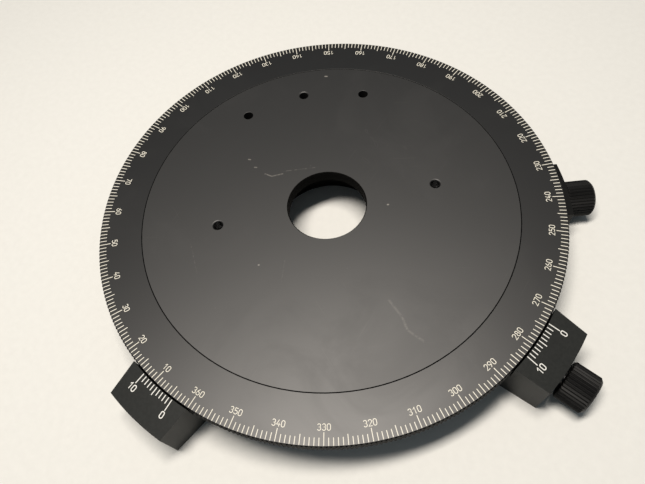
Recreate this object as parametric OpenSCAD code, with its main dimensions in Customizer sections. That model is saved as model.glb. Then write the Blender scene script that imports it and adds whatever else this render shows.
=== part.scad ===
// Rotary measuring table: a knurled, graduated table turning on a ball bearing in a low fixed base,
// read by two vernier blocks a quarter turn apart, with a fine-turn knob and a clamp screw.
// Origin: on the turning axis at the base's underside. +Z up, +X towards the fine-turn knob.

/* [Table] */
// Diameter of the table over its knurled rim
table_d = 200; // [196:1:208]
// Height of the table's face above the base's underside
total_h = 24; // [24:0.5:27]
// Thickness of the table at its rim
rim_t = 5.8; // [5.6:0.1:6.2]
// Diameter of the centre bore
bore_d = 34; // [30:0.5:35]
// Diameter of the fine seam between the table plate and the scale ring
seam_d = 162.4; // [160:0.1:163]
// Width of that seam
seam_w = 0.3; // [0.2:0.05:0.5]
// Number of teeth in the rim's knurl
rim_teeth = 360; // [180:60:360]
// Depth of the rim's knurl
rim_tooth = 0.5; // [0.4:0.1:0.7]

/* [Fixing holes] */
// Core diameter of the tapped holes in the table
tapped_d = 4.2; // [3.3:0.1:5]
// Diameter of the plain holes in the table
plain_d = 4.6; // [4:0.1:5]
// Radius at which the two opposed tapped holes lie
pair_r = 47.9; // [47.5:0.1:52]
// Radius at which the row of three holes lies
row_r = 65.5; // [60:0.5:72]
// Angle of the opposed pair's line
pair_angle = 49.1; // [0:0.1:180]
// Angle between neighbouring holes of the row of three
row_step = 25.6; // [15:0.1:40]
// Diameter of the circle of the base's tapped holes
base_pcd = 140; // [130:1:144]
// Core diameter of the base's tapped holes
base_hole_d = 5; // [4:0.1:6]

/* [Base] */
// Diameter of the base housing
base_d = 180; // [178:1:182]
// Height of the base housing's wall
wall_h = 16.4; // [16:0.1:16.6]
// Thickness of the base housing's wall
wall_t = 8; // [7:0.5:8]
// Thickness of the base housing's floor
floor_t = 6.5; // [6:0.1:6.5]

/* [Vernier blocks] */
// Radius of a vernier block's outer face
block_r = 114; // [112:0.5:116]
// Width of a vernier block where it passes under the rim
block_w = 29.4; // [28:0.2:34]
// Inward slant of a vernier block's two sides, in degrees
block_taper = 3; // [0:0.5:5]
// Outward fall of a vernier block's top, as height over length
block_fall = 0.2; // [0.1:0.01:0.25]
// Gap between a vernier block and the rim
rim_gap = 0.3; // [0.3:0.1:0.8]
// Angle of the vernier block that has no knob
plain_block_angle = 270; // [200:5:300]

/* [Knobs] */
// Diameter of a knob over its knurl
knob_d = 15.9; // [15:0.1:16.6]
// Length of a knob
knob_l = 11.5; // [10:0.1:13]
// Number of teeth in a knob's knurl
knob_teeth = 36; // [24:2:48]
// Depth of the knobs' knurl
knob_tooth = 0.5; // [0.3:0.1:0.7]
// Height of the fine-turn shaft
fine_z = 8.5; // [8.4:0.1:8.7]
// Angle of the fine-turn shaft about +Z
fine_angle = -0.33; // [-0.5:0.01:0.5]
// Height of the clamp screw
clamp_z = 8.5; // [8.4:0.1:9.5]
// Angle of the clamp block
clamp_angle = 43; // [30:1:60]
// Radius of the clamp block's outer face
clamp_r = 104.5; // [103.5:0.5:106]
// Width of the clamp block
clamp_w = 26.8; // [26.4:0.2:32]

/* [Bearing] */
// Number of balls
ball_n = 22; // [16:1:28]
// Diameter of a ball
ball_d = 5; // [5:0.1:5]
// Radius of the circle through the balls' centres
ball_r = 38; // [38:0.1:38]

/* [Hidden] */
$fn = 96;
eps = 0.02;                             // play between pieces of one body that are fixed together
run = 0.05;                             // radial running clearance of a shaft in its bush
m3_r = 1.5;
m3_head_r = 3;
m3_cap_r = 2.75;
m4_r = 2;
m4_head_r = 3.75;

table_r = table_d / 2;
under_z = total_h - rim_t;              // underside of the table
seam_r = seam_d / 2;
base_r = base_d / 2;
wall_r = base_r - wall_t;

step_r = base_r - 2;                    // the table plate's lower flange, which carries the ring
step_t = 2.5;
edge_r = table_r - rim_tooth - 0.05;    // inner end of the chamfers on the knurled rim
ring_screw_r = (seam_r + step_r) / 2 + 0.1;
ring_screw_n = 8;

seat_r = ball_r + 6.5;                  // bore that holds the outer race
seat_h = 13;                            // top of both races
race_z = (floor_t + seat_h) / 2;
boss_r = 52;
retainer_t = 2.2;
retainer_screw_r = 47.8;
spindle_r = ball_r - 6.5;
spindle_bore_r = 26;
spindle_foot_z = 1;
flange_r = 44;
flange_t = 2.3;
flange_screw_r = 38;
nut_r = 34;
nut_z = 2.8;

seal_r = base_r - 4;
seal_w = 3;
seal_groove = 1.5;

block_screw_y = 10.2;
block_screw_z = 11;
block_screw_x = base_r + 8.3;           // end of a block screw
head_drop = 0.2;                        // how far a vernier block's top lies below the table's face
track_z = under_z - 2;                  // face of the track that the friction roller drives
track_in = 91.5;
track_out = 96.2;
rim_ledge_z = under_z - 0.6;            // top of the blocks under the rim
ledge_z = track_z - 0.6;                // top of the blocks under the track

shaft_r = 2.5;
roller_x = (track_in + track_out) / 2;  // middle of the friction roller
roller_w = 5;
tyre_r = track_z - fine_z - 0.3;
tyre_w = 3.2;
roller_r = tyre_r - 1.5;
groove_r = tyre_r - 2.3;
bush_r = 3.7;
drive_bush_r = 4.5;
fine_knob_x = block_r + 1.3;
clamp_knob_x = clamp_r + 0.8;

drum_r = 78;                            // clamp drum under the table, which the plug presses on
drum_wall = 2.5;
drum_in = 68.7;
drum_low_z = 7.6;
drum_screw_r = 71.8;
clamp_feed = 0.4;                       // inward travel of the clamp screw in half a turn
plug_x = drum_r + clamp_feed + 0.05;    // face of the plug's tip with the clamp off
plug_end = base_r - 1.5;
plug_r = 3;
tip_t = 1.2;
nose_r = 1.6;
nose_l = 3;

black = [0.17, 0.165, 0.16];
plate_black = [0.25, 0.24, 0.235];
steel = [0.62, 0.63, 0.65];
brass = [0.78, 0.62, 0.3];

// ---------- shared shapes ----------

// A ring between two radii, standing on z.
module ring(r_in, r_out, z, h) {
    translate([0, 0, z]) rotate_extrude() translate([r_in, 0]) square([r_out - r_in, h]);
}

// A cylinder along the radius, from x0 to x1, at height z and sideways offset y.
module rod(x0, x1, r, z, y = 0) {
    translate([x0, y, z]) rotate([0, 90, 0]) cylinder(r = r, h = x1 - x0);
}

// Copies of the children spread evenly around the axis.
module around(n, r, start = 0) {
    for (i = [0:n - 1]) rotate([0, 0, start + i * 360 / n]) translate([r, 0, 0]) children();
}

// Outline of a straight knurl: n V-shaped teeth between two radii.
module knurl_outline(r, tooth, n) {
    polygon([for (i = [0:2 * n - 1])
        let (radius = i % 2 == 0 ? r : r - tooth, a = 180 * i / n)
        [radius * cos(a), radius * sin(a)]]);
}

// A countersunk screw with its flat head's face at z = 0, pointing up.
module countersunk(head_r, r, length) {
    head_h = head_r - r;
    difference() {
        union() {
            cylinder(r1 = head_r, r2 = r, h = head_h);
            cylinder(r = r, h = length);
        }
        translate([0, 0, -0.1]) cylinder(r = r * 0.75, h = head_h * 0.7 + 0.1, $fn = 6);
    }
}

// The room that a countersunk screw needs.
module countersunk_hole(head_r, r, length) {
    translate([0, 0, -0.1]) cylinder(r = head_r + eps, h = 0.1 + eps);
    cylinder(r1 = head_r + eps, r2 = r + eps, h = head_r - r);
    cylinder(r = r + eps, h = length);
}

// ---------- table ----------

// Places of the table's fixing holes: [radius, angle, diameter, countersunk].
fixing_holes = [
    [pair_r, pair_angle, tapped_d, true],
    [pair_r, pair_angle + 180, tapped_d, true],
    [row_r, pair_angle + 90, tapped_d, true],
    [row_r, pair_angle + 90 - row_step, plain_d, false],
    [row_r, pair_angle + 90 + row_step, plain_d, false]
];

module fixing_hole(d, sunk) {
    sink = sunk ? 0.5 : 0.15;
    translate([0, 0, under_z - 1]) cylinder(d = d, h = rim_t + 2);
    translate([0, 0, total_h - sink]) cylinder(r1 = d / 2, r2 = d / 2 + sink + 0.1, h = sink + 0.1);
}

module table_plate() color(plate_black) difference() {
    rotate_extrude() polygon([
        [bore_d / 2, under_z], [step_r, under_z], [step_r, under_z + step_t],
        [seam_r - seam_w / 2, under_z + step_t], [seam_r - seam_w / 2, total_h - 0.1],
        [seam_r - seam_w / 2 - 0.1, total_h], [bore_d / 2 + 0.4, total_h], [bore_d / 2, total_h - 0.4]
    ]);
    for (h = fixing_holes) rotate([0, 0, h[1]]) translate([h[0], 0, 0]) fixing_hole(h[2], h[3]);
    around(6, flange_screw_r) translate([0, 0, under_z - 0.1]) cylinder(r = m4_r + eps, h = 4.6);
    around(ring_screw_n, ring_screw_r) translate([0, 0, under_z]) countersunk_hole(m3_head_r, m3_r, 5);
    around(6, drum_screw_r, 30) translate([0, 0, under_z - 0.1]) cylinder(r = m3_r + eps, h = 3);
}

module scale_ring() color(plate_black) difference() {
    intersection() {
        rotate_extrude() polygon([
            [step_r + 0.3, under_z], [track_in, under_z], [track_in, track_z], [track_out, track_z],
            [track_out, under_z], [edge_r, under_z], [table_r + 0.1, under_z + table_r + 0.1 - edge_r],
            [table_r + 0.1, total_h - table_r - 0.1 + edge_r], [edge_r, total_h],
            [seam_r + seam_w / 2 + 0.1, total_h], [seam_r + seam_w / 2, total_h - 0.1],
            [seam_r + seam_w / 2, under_z + step_t], [step_r + 0.3, under_z + step_t]
        ]);
        translate([0, 0, track_z - 1]) linear_extrude(total_h - track_z + 2)
            knurl_outline(table_r, rim_tooth, rim_teeth);
    }
    around(ring_screw_n, ring_screw_r) translate([0, 0, under_z]) cylinder(r = m3_r + eps, h = 4.8);
}

module ring_screws() color(steel) around(ring_screw_n, ring_screw_r)
    translate([0, 0, under_z]) countersunk(m3_head_r, m3_r, 4.6);

module clamp_drum() color(steel) difference() {
    rotate_extrude() polygon([
        [drum_in, under_z - flange_t], [drum_r - drum_wall, under_z - flange_t],
        [drum_r - drum_wall, drum_low_z], [drum_r, drum_low_z], [drum_r, under_z], [drum_in, under_z]
    ]);
    around(6, drum_screw_r, 30) translate([0, 0, under_z - flange_t]) countersunk_hole(m3_head_r, m3_r, 3);
}

module drum_screws() color(steel) around(6, drum_screw_r, 30)
    translate([0, 0, under_z - flange_t]) countersunk(m3_head_r, m3_r, 4.8);

// ---------- spindle and bearing ----------

module spindle() color(steel) difference() {
    rotate_extrude() polygon([
        [spindle_bore_r, spindle_foot_z], [nut_r - 6, spindle_foot_z], [nut_r - 6, floor_t],
        [spindle_r, floor_t], [spindle_r, seat_h], [spindle_r + 2.5, seat_h],
        [spindle_r + 2.5, under_z - flange_t], [flange_r, under_z - flange_t], [flange_r, under_z],
        [spindle_bore_r, under_z]
    ]);
    around(6, flange_screw_r) translate([0, 0, under_z - flange_t]) countersunk_hole(m4_head_r, m4_r, 3);
}

module spindle_screws() color(steel) around(6, flange_screw_r)
    translate([0, 0, under_z - flange_t]) countersunk(m4_head_r, m4_r, 6.3);

// The groove that the balls run in.
module ball_groove() rotate_extrude() translate([ball_r, race_z]) circle(d = ball_d + 2 * run, $fn = 48);

module inner_race() color(steel) difference() {
    ring(spindle_r + eps, ball_r - 1.1, floor_t, seat_h - floor_t);
    ball_groove();
}

module outer_race() color(steel) difference() {
    ring(ball_r + 1.1, seat_r - eps, floor_t, seat_h - floor_t);
    ball_groove();
}

module bearing_balls() color(steel) around(ball_n, ball_r) translate([0, 0, race_z])
    sphere(d = ball_d, $fn = 48);

module ball_cage() color(brass) difference() {
    ring(ball_r - 0.8, ball_r + 0.8, race_z - 3, 6);
    around(ball_n, ball_r) translate([0, 0, race_z]) sphere(d = ball_d + 0.16, $fn = 48);
}

module spindle_nut() color(steel) difference() {
    ring(nut_r - 6 + eps, nut_r, nut_z, floor_t - nut_z);
    around(4, nut_r - 2.5) translate([0, 0, nut_z - 0.1]) cylinder(r = 1.25, h = 2.1);
}

// ---------- base ----------

module base_plate() color(black) difference() {
    rotate_extrude() polygon([
        [nut_r + 1, 0], [wall_r, 0], [wall_r, floor_t], [boss_r, floor_t], [boss_r, seat_h],
        [seat_r, seat_h], [seat_r, floor_t], [ball_r + 1.5, floor_t], [ball_r + 1.5, floor_t - 1],
        [nut_r + 1, floor_t - 1]
    ]);
    around(4, base_pcd / 2, 22.5) translate([0, 0, -1]) cylinder(d = base_hole_d, h = floor_t + 2);
    around(6, retainer_screw_r) translate([0, 0, seat_h - 5]) cylinder(r = m3_r + eps, h = 6);
    rotate([0, 0, clamp_angle]) rod(drum_r - 1, base_r, plug_r + 0.3, clamp_z);
}

module base_wall() color(black) difference() {
    rotate_extrude() polygon([
        [wall_r + eps, 0], [base_r - 0.6, 0], [base_r, 0.6], [base_r, wall_h],
        [seal_r + seal_w / 2, wall_h], [seal_r + seal_w / 2, wall_h - seal_groove],
        [seal_r - seal_w / 2, wall_h - seal_groove], [seal_r - seal_w / 2, wall_h],
        [wall_r + eps, wall_h]
    ]);
    rotate([0, 0, fine_angle]) rod(wall_r - 1, base_r + 1, bush_r, fine_z);
    rotate([0, 0, clamp_angle]) rod(wall_r - 1, base_r + 1, plug_r + run, clamp_z);
    for (a = [0, plain_block_angle, clamp_angle]) rotate([0, 0, a]) for (side = [-1, 1]) {
        rod(wall_r - 1, base_r + 1, m3_r + 0.1, block_screw_z, side * block_screw_y);
        rod(wall_r - 2, wall_r + eps, m3_cap_r + 0.2, block_screw_z, side * block_screw_y);
    }
}

module bearing_retainer() color(steel) difference() {
    ring(ball_r + 2.6, boss_r - 0.5, seat_h, retainer_t);
    around(6, retainer_screw_r) translate([0, 0, seat_h + retainer_t]) mirror([0, 0, 1])
        countersunk_hole(m3_head_r, m3_r, 4);
}

module retainer_screws() color(steel) around(6, retainer_screw_r)
    translate([0, 0, seat_h + retainer_t]) mirror([0, 0, 1]) countersunk(m3_head_r, m3_r, 6.5);

module felt_seal() color([0.35, 0.34, 0.32])
    ring(seal_r - seal_w / 2 + eps, seal_r + seal_w / 2 - eps, wall_h - seal_groove,
         under_z - 0.8 - wall_h + seal_groove);

// ---------- blocks ----------

// Plan of a block: sides that slant inwards as they go outwards.
module block_plan(width, taper) {
    function half(x) = width / 2 - (x - table_r) * tan(taper);
    polygon([[base_r - 3, -half(base_r - 3)], [block_r + 4, -half(block_r + 4)],
             [block_r + 4, half(block_r + 4)], [base_r - 3, half(base_r - 3)]]);
}

module block_screw_holes() for (side = [-1, 1])
    rod(base_r - 4, block_screw_x + 0.3, m3_r + eps, block_screw_z, side * block_screw_y);

// A vernier block along +X: a foot under the rim and a head beside it, with a falling top.
module vernier_block() difference() {
    head_r = table_r + rim_gap;
    intersection() {
        rotate_extrude() polygon([
            [base_r + eps, 0], [block_r, 0], [block_r, total_h - head_drop - block_fall * (block_r - head_r)],
            [head_r, total_h - head_drop], [head_r, ledge_z], [base_r + eps, ledge_z]
        ]);
        linear_extrude(total_h + 1) block_plan(block_w, block_taper);
    }
    block_screw_holes();
}

module plain_vernier_block() color(black) rotate([0, 0, plain_block_angle]) vernier_block();

module drive_vernier_block() color(black) difference() {
    vernier_block();
    translate([base_r - 3, -tyre_r - 0.8, -1])
        cube([roller_x + roller_w / 2 + 1.2 - base_r + 3, 2 * tyre_r + 1.6, under_z]);
    rotate([0, 0, fine_angle]) rod(roller_x, block_r + 1, drive_bush_r + eps, fine_z);
}

module clamp_block() color(black) rotate([0, 0, clamp_angle]) difference() {
    intersection() {
        rotate_extrude() polygon([
            [base_r + eps, 0], [clamp_r, 0], [clamp_r, rim_ledge_z], [track_out + 1, rim_ledge_z],
            [track_out + 1, ledge_z], [base_r + eps, ledge_z]
        ]);
        linear_extrude(total_h) block_plan(clamp_w, 0);
    }
    block_screw_holes();
    rod(base_r - 2, clamp_r + 1, bush_r + eps, clamp_z);
}

module block_screws() color(steel) for (a = [0, plain_block_angle, clamp_angle])
    rotate([0, 0, a]) for (side = [-1, 1]) difference() {
        union() {
            rod(wall_r - 3, wall_r, m3_cap_r, block_screw_z, side * block_screw_y);
            rod(wall_r - 1, block_screw_x, m3_r, block_screw_z, side * block_screw_y);
        }
        translate([wall_r - 3.1, side * block_screw_y, block_screw_z]) rotate([0, 90, 0])
            cylinder(r = 1.45, h = 1.7, $fn = 6);
    }

module wall_bush() color(brass) rotate([0, 0, fine_angle]) difference() {
    rod(wall_r + 0.2, base_r - 0.3, bush_r - eps, fine_z);
    rod(wall_r, base_r, shaft_r + run, fine_z);
}

module drive_bush() color(brass) rotate([0, 0, fine_angle]) difference() {
    rod(table_r - 1, block_r - 0.4, drive_bush_r, fine_z);
    rod(table_r - 2, block_r + 2, shaft_r + run, fine_z);
}

module clamp_bush() color(brass) rotate([0, 0, clamp_angle]) difference() {
    rod(base_r + 1.5, clamp_r - 0.4, bush_r, clamp_z);
    rod(base_r, clamp_r + 2, shaft_r + run, clamp_z);
}

// ---------- fine drive ----------

module fine_shaft() color(steel) rotate([0, 0, fine_angle])
    rod(wall_r + 1.5, fine_knob_x + knob_l - 1.5, shaft_r, fine_z);

// A knurled knob along +X on a shaft at height z; its outer edge is chamfered.
module knob(x, z) translate([x, 0, z]) rotate([0, 90, 0]) difference() {
    intersection() {
        linear_extrude(knob_l) knurl_outline(knob_d / 2, knob_tooth, knob_teeth);
        rotate_extrude() polygon([
            [0, 0], [knob_d / 2 - 0.7, 0], [knob_d / 2 + 0.2, 0.9], [knob_d / 2 + 0.2, knob_l - 1.3],
            [knob_d / 2 - 1.1, knob_l], [0, knob_l]
        ]);
    }
    translate([0, 0, -1]) cylinder(r = shaft_r + eps, h = knob_l - 0.4);
    translate([0, 0, knob_l / 2]) rotate([0, 90, 0]) cylinder(r = m3_r + eps, h = knob_d);
}

// The grub screw that holds a knob on its shaft, in the knob's underside.
module grub_screw(x, z) translate([x + knob_l / 2, 0, z]) rotate([180, 0, 0]) difference() {
    translate([0, 0, shaft_r]) cylinder(r = m3_r, h = 4);
    translate([0, 0, shaft_r + 2.5]) cylinder(r = 0.85, h = 2, $fn = 6);
}

module fine_knob() color(black) rotate([0, 0, fine_angle]) knob(fine_knob_x, fine_z);

module fine_knob_screw() color(steel) rotate([0, 0, fine_angle]) grub_screw(fine_knob_x, fine_z);

module friction_roller() color(brass) rotate([0, 0, fine_angle]) translate([roller_x, 0, fine_z])
    rotate([0, 90, 0]) rotate_extrude() polygon([
        [shaft_r + eps, -roller_w / 2], [roller_r, -roller_w / 2], [roller_r, -tyre_w / 2],
        [groove_r, -tyre_w / 2], [groove_r, tyre_w / 2], [roller_r, tyre_w / 2],
        [roller_r, roller_w / 2], [shaft_r + eps, roller_w / 2]
    ]);

module roller_tyre() color([0.1, 0.1, 0.1]) rotate([0, 0, fine_angle]) translate([roller_x, 0, fine_z])
    rotate([0, 90, 0]) rotate_extrude() intersection() {
        half = tyre_w / 2 - eps;
        union() {
            translate([groove_r, -half]) square([tyre_r - half - groove_r, 2 * half]);
            translate([tyre_r - half, 0]) circle(r = half, $fn = 32);
        }
        translate([groove_r + eps, -tyre_w]) square(2 * tyre_w);
    }

// ---------- clamp ----------

module clamp_screw() color(steel) rotate([0, 0, clamp_angle]) union() {
    rod(plug_end - nose_l, plug_end + 1, nose_r, clamp_z);
    rod(plug_end + 0.1, clamp_knob_x + knob_l - 1.5, shaft_r, clamp_z);
}

module clamp_knob() color(black) rotate([0, 0, clamp_angle]) knob(clamp_knob_x, clamp_z);

module clamp_knob_screw() color(steel) rotate([0, 0, clamp_angle]) grub_screw(clamp_knob_x, clamp_z);

module clamp_plug() color(brass) rotate([0, 0, clamp_angle]) difference() {
    rod(plug_x + tip_t, plug_end, plug_r, clamp_z);
    rod(plug_end - nose_l - 0.1, plug_end + 1, nose_r + run, clamp_z);
}

module plug_tip() color([0.8, 0.78, 0.7]) rotate([0, 0, clamp_angle])
    rod(plug_x, plug_x + tip_t, plug_r - 0.1, clamp_z);

base_plate();
base_wall();
outer_race();
bearing_retainer();
retainer_screws();
felt_seal();
plain_vernier_block();
drive_vernier_block();
clamp_block();
block_screws();
wall_bush();
drive_bush();
clamp_bush();
table_plate();
scale_ring();
ring_screws();
clamp_drum();
drum_screws();
spindle();
spindle_screws();
inner_race();
spindle_nut();
bearing_balls();
ball_cage();
fine_shaft();
fine_knob();
fine_knob_screw();
friction_roller();
roller_tyre();
clamp_screw();
clamp_knob();
clamp_knob_screw();
clamp_plug();
plug_tip();
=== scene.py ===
"""Dresses the rotary measuring table in anodised metal, paint-filled scales and machined edges.

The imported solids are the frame. Visible pieces are rebuilt from them with rounded edges, the dial and vernier
scales are thin lines of raised paint, and every finish is procedural. Lengths are in metres unless stated.
"""

import logging
import math
from dataclasses import dataclass, field
from enum import Enum
from typing import Callable, Sequence

import bmesh
import bpy
from mathutils import Matrix, Vector


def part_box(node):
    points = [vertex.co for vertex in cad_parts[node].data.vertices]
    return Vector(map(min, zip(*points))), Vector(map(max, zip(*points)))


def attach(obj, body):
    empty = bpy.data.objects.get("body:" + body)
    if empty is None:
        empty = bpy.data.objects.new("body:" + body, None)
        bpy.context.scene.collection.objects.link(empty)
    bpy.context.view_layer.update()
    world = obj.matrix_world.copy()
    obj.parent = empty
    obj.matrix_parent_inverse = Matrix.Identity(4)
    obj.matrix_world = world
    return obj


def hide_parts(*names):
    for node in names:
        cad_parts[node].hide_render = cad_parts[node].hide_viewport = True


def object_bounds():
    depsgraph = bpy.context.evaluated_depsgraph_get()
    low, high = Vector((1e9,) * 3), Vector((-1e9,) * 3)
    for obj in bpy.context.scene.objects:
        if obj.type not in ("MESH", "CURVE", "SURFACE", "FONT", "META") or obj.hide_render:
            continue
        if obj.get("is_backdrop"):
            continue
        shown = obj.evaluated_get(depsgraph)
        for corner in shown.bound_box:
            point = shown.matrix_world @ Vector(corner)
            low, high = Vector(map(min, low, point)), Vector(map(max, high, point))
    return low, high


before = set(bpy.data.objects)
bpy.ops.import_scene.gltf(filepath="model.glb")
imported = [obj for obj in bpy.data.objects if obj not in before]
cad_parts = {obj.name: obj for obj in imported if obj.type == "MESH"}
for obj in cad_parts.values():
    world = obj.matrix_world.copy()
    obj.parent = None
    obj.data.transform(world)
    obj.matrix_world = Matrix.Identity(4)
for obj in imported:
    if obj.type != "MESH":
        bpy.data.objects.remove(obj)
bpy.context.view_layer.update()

MM = 0.001
PAINT_PROUD = 0.02 * MM
LOG = logging.getLogger("rotary_table")
Point2 = tuple[float, float]
Triple = tuple[float, float, float]
Colour = Triple
Placing = Callable[[float, float, float], Vector]
Span = tuple[float, float]
Tree = bpy.types.NodeTree
Socket = bpy.types.NodeSocket
Material = bpy.types.Material
Node = bpy.types.Node
Piece = bpy.types.Object
BMesh = bmesh.types.BMesh

EDGE_ATTRIBUTE = "edge"

# Noise values between which each mask goes from 0 to 1.
CLOUD_SPAN: Span = (0.3, 0.7)
STREAK_SPAN: Span = (0.735, 0.78)
PATCH_SPAN: Span = (0.52, 0.66)
SMUDGE_SPAN: Span = (0.45, 0.75)
SPECK_PICK_SPAN: Span = (0.86, 0.9)
SPECK_SIZE_SPAN: Span = (0.13, 0.05)
WEAR_SPAN: Span = (0.4, 0.62)
GAP_SPAN: Span = (-0.12, 0.12)
SCRATCH_TURNS = (0.35, 1.45, 2.5)
SCRATCH_STRETCH = 34.0
STAIN_COLOUR: Colour = (0.006, 0.006, 0.006)
STAIN_ROUGHNESS = 0.3

# Mesh cleaning and rounding; angles are in degrees.
MERGE_BEFORE = 0.002 * MM
MERGE_AFTER = 0.001 * MM
FLAT_ANGLE = 0.2
PAINT_SMOOTH_ANGLE = 50.0
ROUND_PROFILE = 0.5
NORMAL_WEIGHT = 80
STEEP_BELOW = 0.9

# A painted line's section, corners and round ends.
SHOULDER = 0.72
FLANK = 0.4
LEAST_MITRE_COSINE = 0.2
MITRE_LIMIT = 1.6
CAP_ANGLES = (35, 62, 84)


class Body(str, Enum):
    """The CAD bodies that pieces ride on."""

    BASE = "base"
    TABLE = "table"
    FINE = "fine_drive"
    CLAMP = "clamp"


class Slot(str, Enum):
    """The record's material slots."""

    TABLE = "black_anodised"
    BASE = "black_base"
    BLOCK = "block_black"
    KNOB = "knob_black"
    STEEL = "ground_steel"
    SHAFT = "shaft_steel"
    SCREW = "screw_steel"
    BALL = "ball_steel"
    BRASS = "bush_brass"
    RUBBER = "tyre_rubber"
    FELT = "felt"
    NYLON = "tip_nylon"


# ---- shader node groups


class GroupBuilder:
    """Builds one shader node group with a Vector input and other named sockets."""

    def __init__(self, name: str, inputs: dict[str, float | None], outputs: tuple[str, ...]) -> None:
        """Makes the group and its sockets.

        Args:
            name: the group's name.
            inputs: names of further inputs to default values; None makes a vector socket.
            outputs: names of the outputs, which are all values.
        """
        self.tree = bpy.data.node_groups.new(name, "ShaderNodeTree")
        for label, value in {"Vector": None, **inputs}.items():
            kind = "NodeSocketVector" if value is None else "NodeSocketFloat"
            socket = self.tree.interface.new_socket(label, in_out="INPUT", socket_type=kind)
            if value is not None:
                socket.default_value = value
        for label in outputs:
            self.tree.interface.new_socket(label, in_out="OUTPUT", socket_type="NodeSocketFloat")
        self.source = self.tree.nodes.new("NodeGroupInput").outputs
        self.result = self.tree.nodes.new("NodeGroupOutput").inputs

    def add(self, kind: str, **settings: object) -> Node:
        """Adds a node and sets its properties; a key that names an input sets that input."""
        return add_node(self.tree, kind, **settings)

    def fed(self, kind: str, **settings: object) -> Node:
        """Adds a node whose first input reads the group's Vector."""
        node = self.add(kind, **settings)
        self.link(self.source["Vector"], node.inputs[0])
        return node

    def link(self, source: Socket, target: Socket) -> None:
        """Links two sockets."""
        self.tree.links.new(source, target)


def add_node(tree: Tree, kind: str, **settings: object) -> Node:
    """Adds a shader node.

    Args:
        tree: the node tree to add to.
        kind: the node's type without the ShaderNode prefix.
        settings: node properties, or values for inputs named with spaces as underscores.

    Returns:
        The new node.
    """
    node = tree.nodes.new("ShaderNode" + kind)
    for key, value in settings.items():
        label = key.replace("_", " ")
        if hasattr(node, key):
            setattr(node, key, value)
        else:
            node.inputs[label].default_value = value
    return node


def math_node(tree: Tree, operation: str, a: object, b: object = None) -> Socket:
    """Adds a clamp-free math node.

    Args:
        tree: the node tree.
        operation: the math operation.
        a: a socket or a number.
        b: a socket, a number or None.

    Returns:
        The node's output socket.
    """
    node = add_node(tree, "Math", operation=operation)
    for slot_index, value in enumerate((a, b)):
        if isinstance(value, Socket):
            tree.links.new(value, node.inputs[slot_index])
        elif value is not None:
            node.inputs[slot_index].default_value = value
    return node.outputs[0]


def ramp(tree: Tree, source: Socket, low: float, high: float,
         to_low: float = 0.0, to_high: float = 1.0) -> Socket:
    """Maps a value from one range to another, smoothly and clamped.

    Args:
        tree: the node tree.
        source: the socket to map.
        low: the source value that gives to_low.
        high: the source value that gives to_high.
        to_low: the result at low.
        to_high: the result at high.

    Returns:
        The mapped socket.
    """
    node = add_node(tree, "MapRange", interpolation_type="SMOOTHSTEP")
    tree.links.new(source, node.inputs["Value"])
    for label, value in (("From Min", low), ("From Max", high), ("To Min", to_low), ("To Max", to_high)):
        node.inputs[label].default_value = value
    return node.outputs["Result"]


def mix_colours(tree: Tree, mask: Socket, a: object, b: object) -> Socket:
    """Mixes two colours by a mask.

    Args:
        tree: the node tree.
        mask: the share of the second colour.
        a: the first colour, a socket or three numbers.
        b: the second colour, a socket or three numbers.

    Returns:
        The mixed colour's socket.
    """
    node = add_node(tree, "Mix", data_type="RGBA")
    first, second, mixed = node.inputs[6], node.inputs[7], node.outputs[2]
    tree.links.new(mask, node.inputs["Factor"])
    for value, socket in ((a, first), (b, second)):
        if isinstance(value, Socket):
            tree.links.new(value, socket)
        else:
            socket.default_value = (*value, 1.0)
    return mixed


def build_grain_group() -> Tree:
    """Fine grain of a blasted or anodised skin.

    Returns:
        A group with Value, a slow variation from 0 to 1, and Height, the fine grain.
    """
    group = GroupBuilder("metal_grain", {"Grain Scale": 2500.0, "Cloud Scale": 40.0},
                         ("Value", "Height"))
    fine = group.fed("TexNoise", Detail=3.0, Roughness=0.6)
    cloud = group.fed("TexNoise", Detail=4.0, Roughness=0.55)
    for node, label in ((fine, "Grain Scale"), (cloud, "Cloud Scale")):
        group.link(group.source[label], node.inputs["Scale"])
    group.link(ramp(group.tree, cloud.outputs["Fac"], *CLOUD_SPAN), group.result["Value"])
    group.link(fine.outputs["Fac"], group.result["Height"])
    return group.tree


def build_scratch_group() -> Tree:
    """Short fine scratches in three directions, in scattered patches.

    Returns:
        A group with Mask, 1 on a scratch.
    """
    group = GroupBuilder("handling_scratches", {"Scale": 60.0, "Amount": 0.5},
                         ("Mask",))
    tree = group.tree
    total = None
    for turn in SCRATCH_TURNS:
        rotated = group.fed("VectorRotate", rotation_type="Z_AXIS", Angle=turn)
        stretched = group.add("VectorMath", operation="MULTIPLY")
        stretched.inputs[1].default_value = (1.0, SCRATCH_STRETCH, 1.0)
        group.link(rotated.outputs["Vector"], stretched.inputs[0])
        streak = group.add("TexNoise", Detail=1.0, Roughness=0.4, Distortion=0.25)
        group.link(stretched.outputs["Vector"], streak.inputs["Vector"])
        group.link(group.source["Scale"], streak.inputs["Scale"])
        line = ramp(tree, streak.outputs["Fac"], *STREAK_SPAN)
        total = line if total is None else math_node(tree, "MAXIMUM", total, line)
    patch = group.fed("TexNoise", Scale=28.0, Detail=2.0)
    spread = ramp(tree, patch.outputs["Fac"], *PATCH_SPAN)
    shown = math_node(tree, "MULTIPLY", total, spread)
    group.link(math_node(tree, "MULTIPLY", shown, group.source["Amount"]), group.result["Mask"])
    return tree


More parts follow.
